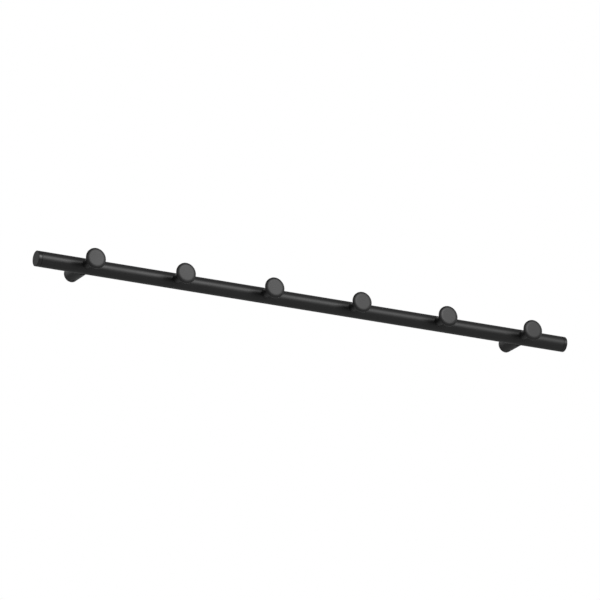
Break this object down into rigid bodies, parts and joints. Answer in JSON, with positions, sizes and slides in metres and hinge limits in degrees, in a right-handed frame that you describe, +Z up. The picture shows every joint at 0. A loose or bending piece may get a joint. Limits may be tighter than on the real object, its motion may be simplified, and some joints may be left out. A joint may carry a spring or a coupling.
{
  "type": "hook rail",
  "caption": "Black wall-mounted hook rail: a round capped tube on short posts, with mushroom knobs along its front for hanging coats and towels.",
  "frame": {"origin": "on the wall, midway between the two wall-screw holes, at the height of the rail's axis", "axes": "+X along the rail, to the right as seen from the room; +Y into the wall; +Z up"},
  "size_m": [0.606, 0.06, 0.0216],
  "materials": {
    "black_coating": "fine satin black powder coat on steel",
    "cap_plastic": "black moulded plastic",
    "screw_steel": "zinc-plated steel",
    "black_steel": "blackened steel, to match the coat"
  },
  "bodies": {
    "root": {"rail_tube": "black_coating", "knob_1": "black_coating", "knob_2": "black_coating", "knob_3": "black_coating", "knob_4": "black_coating", "knob_5": "black_coating", "knob_6": "black_coating", "wall_post_left": "black_coating", "wall_post_right": "black_coating", "wall_plate_left": "black_coating", "wall_plate_right": "black_coating", "end_cap_left": "cap_plastic", "end_cap_right": "cap_plastic", "knob_screws": "screw_steel", "post_screws": "screw_steel", "grub_screws": "black_steel"}
  },
  "joints": []
}
